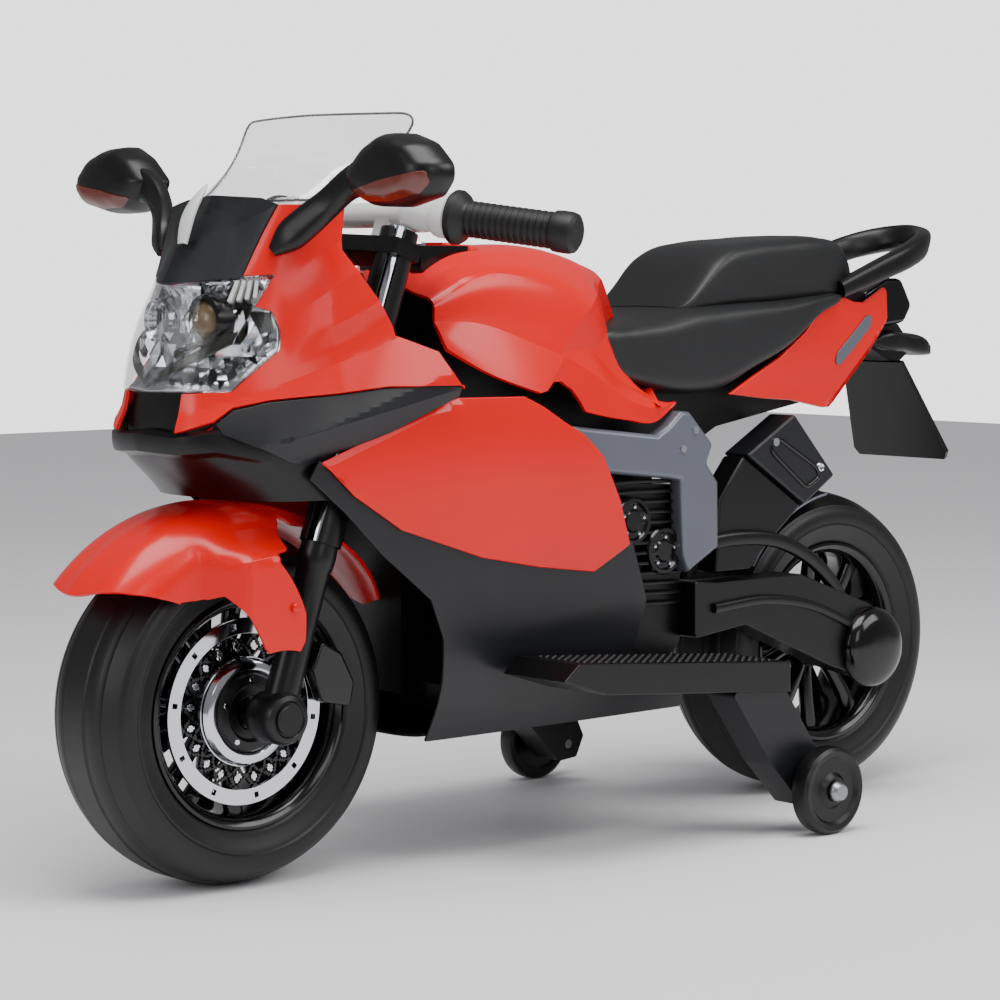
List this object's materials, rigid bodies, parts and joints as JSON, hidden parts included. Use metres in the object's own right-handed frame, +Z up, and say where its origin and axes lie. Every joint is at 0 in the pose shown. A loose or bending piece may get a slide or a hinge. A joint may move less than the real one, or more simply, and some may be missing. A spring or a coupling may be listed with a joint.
{
  "type": "ride-on motorcycle",
  "caption": "Child's battery ride-on motorcycle with a full sports fairing, steerable front wheel, driven rear wheel and two small stabiliser wheels.",
  "frame": {"origin": "on the ground, centred under the bounding box, between the two road wheels", "axes": "+X forwards, +Y to the rider's left, +Z up"},
  "size_m": [1.0479, 0.5014, 0.655],
  "materials": {
    "red_plastic": "gloss",
    "dark_plastic": "satin",
    "black_plastic": "satin",
    "gloss_black": "gloss",
    "silver_plastic": "satin",
    "tyre_plastic": "matt",
    "rim_plastic": "gloss",
    "chrome": "polished",
    "steel": "turned",
    "clear": "clear",
    "seat_plastic": "grained",
    "grip_rubber": "matt",
    "red_lens": "gloss",
    "gear_nylon": "moulded",
    "battery_case": "moulded"
  },
  "bodies": {
    "chassis": {"battery": "battery_case", "belly_fairing": "dark_plastic", "charging_socket": "black_plastic", "chin_intake": "black_plastic", "control_panel": "black_plastic", "dash_cowl": "black_plastic", "footboard_left": "dark_plastic", "footboard_right": "dark_plastic", "frame_trims": "silver_plastic", "gearbox_case": "black_plastic", "grab_rail": "black_plastic", "headlight_lens": "clear", "headlight_reflector": "chrome", "hub_cover": "gloss_black", "inlet_trims": "dark_plastic", "main_frame": "black_plastic", "mirrors": "gloss_black", "motor": "steel", "mud_flap": "black_plastic", "nose_fairing": "red_plastic", "rear_axle": "steel", "seat": "seat_plastic", "side_panel_left": "red_plastic", "side_panel_right": "red_plastic", "silencer": "black_plastic", "silencer_cap": "gloss_black", "stabiliser_arms": "black_plastic", "stabiliser_bolts": "steel", "steering_bushes": "gear_nylon", "swingarm_left": "black_plastic", "swingarm_right": "black_plastic", "tail_lamp": "gloss_black", "tail_panels": "red_plastic", "tank_cover": "red_plastic", "trim_screws": "chrome", "windscreen": "clear"},
    "steering": {"fork_leg_left": "black_plastic", "fork_leg_right": "black_plastic", "lower_yoke": "black_plastic", "upper_yoke": "black_plastic", "handlebar": "silver_plastic", "grip_left": "grip_rubber", "grip_right": "grip_rubber", "front_fender": "red_plastic", "front_axle": "steel", "brake_caliper": "black_plastic"},
    "front_wheel": {"front_tyre": "tyre_plastic", "front_rim": "rim_plastic", "brake_disc": "chrome"},
    "rear_wheel": {"rear_tyre": "tyre_plastic", "rear_rim": "rim_plastic", "drive_gear": "gear_nylon"},
    "pinion": {"motor_pinion": "gear_nylon"},
    "left_stabiliser": {"stabiliser_wheel_left": "tyre_plastic"},
    "right_stabiliser": {"stabiliser_wheel_right": "tyre_plastic"},
    "pedal": {"accelerator_pedal": "dark_plastic"},
    "horn": {"horn_button": "chrome"},
    "music": {"music_button": "chrome"},
    "power": {"power_switch": "red_lens"},
    "direction": {"direction_switch": "red_lens"}
  },
  "joints": [
    {"name": "steering_turn", "type": "hinge", "parent": "chassis", "child": "steering", "pos_m": [0.372, 0, 0.15], "axis": [-0.3173, 0, 0.9483], "range_deg": [-20, 20]},
    {"name": "front_wheel_spin", "type": "hinge", "parent": "steering", "child": "front_wheel", "pos_m": [0.372, 0, 0.15], "axis": [0, 1, 0], "continuous": true},
    {"name": "rear_wheel_spin", "type": "hinge", "parent": "chassis", "child": "rear_wheel", "pos_m": [-0.35, 0, 0.15], "axis": [0, 1, 0], "continuous": true},
    {"name": "pinion_spin", "type": "hinge", "parent": "chassis", "child": "pinion", "pos_m": [-0.3007, 0, 0.15], "axis": [0, 1, 0], "continuous": true},
    {"name": "left_stabiliser_spin", "type": "hinge", "parent": "chassis", "child": "left_stabiliser", "pos_m": [-0.174, 0.203, 0.041], "axis": [0, 1, 0], "continuous": true},
    {"name": "right_stabiliser_spin", "type": "hinge", "parent": "chassis", "child": "right_stabiliser", "pos_m": [-0.174, -0.203, 0.041], "axis": [0, 1, 0], "continuous": true},
    {"name": "pedal_press", "type": "hinge", "parent": "chassis", "child": "pedal", "pos_m": [0.02, -0.1525, 0.181], "axis": [0, 1, 0], "range_deg": [0, 5], "stiffness_Nm_per_rad": 0.6, "springref_deg": -4.58},
    {"name": "horn_press", "type": "slide", "parent": "chassis", "child": "horn", "axis": [0, 0, -1], "range_m": [0, 0.002], "stiffness_N_per_m": 120, "springref_m": -0.001},
    {"name": "music_press", "type": "slide", "parent": "chassis", "child": "music", "axis": [0, 0, -1], "range_m": [0, 0.002], "stiffness_N_per_m": 120, "springref_m": -0.001},
    {"name": "power_rock", "type": "hinge", "parent": "chassis", "child": "power", "pos_m": [0.144, 0.022, 0.541], "axis": [0, 1, 0], "range_deg": [-10, 10]},
    {"name": "direction_rock", "type": "hinge", "parent": "chassis", "child": "direction", "pos_m": [0.144, -0.022, 0.541], "axis": [0, 1, 0], "range_deg": [-10, 10]}
  ],
  "couplings": [
    {"joint": "pinion_spin", "follows": "rear_wheel_spin", "ratio": -6}
  ]
}
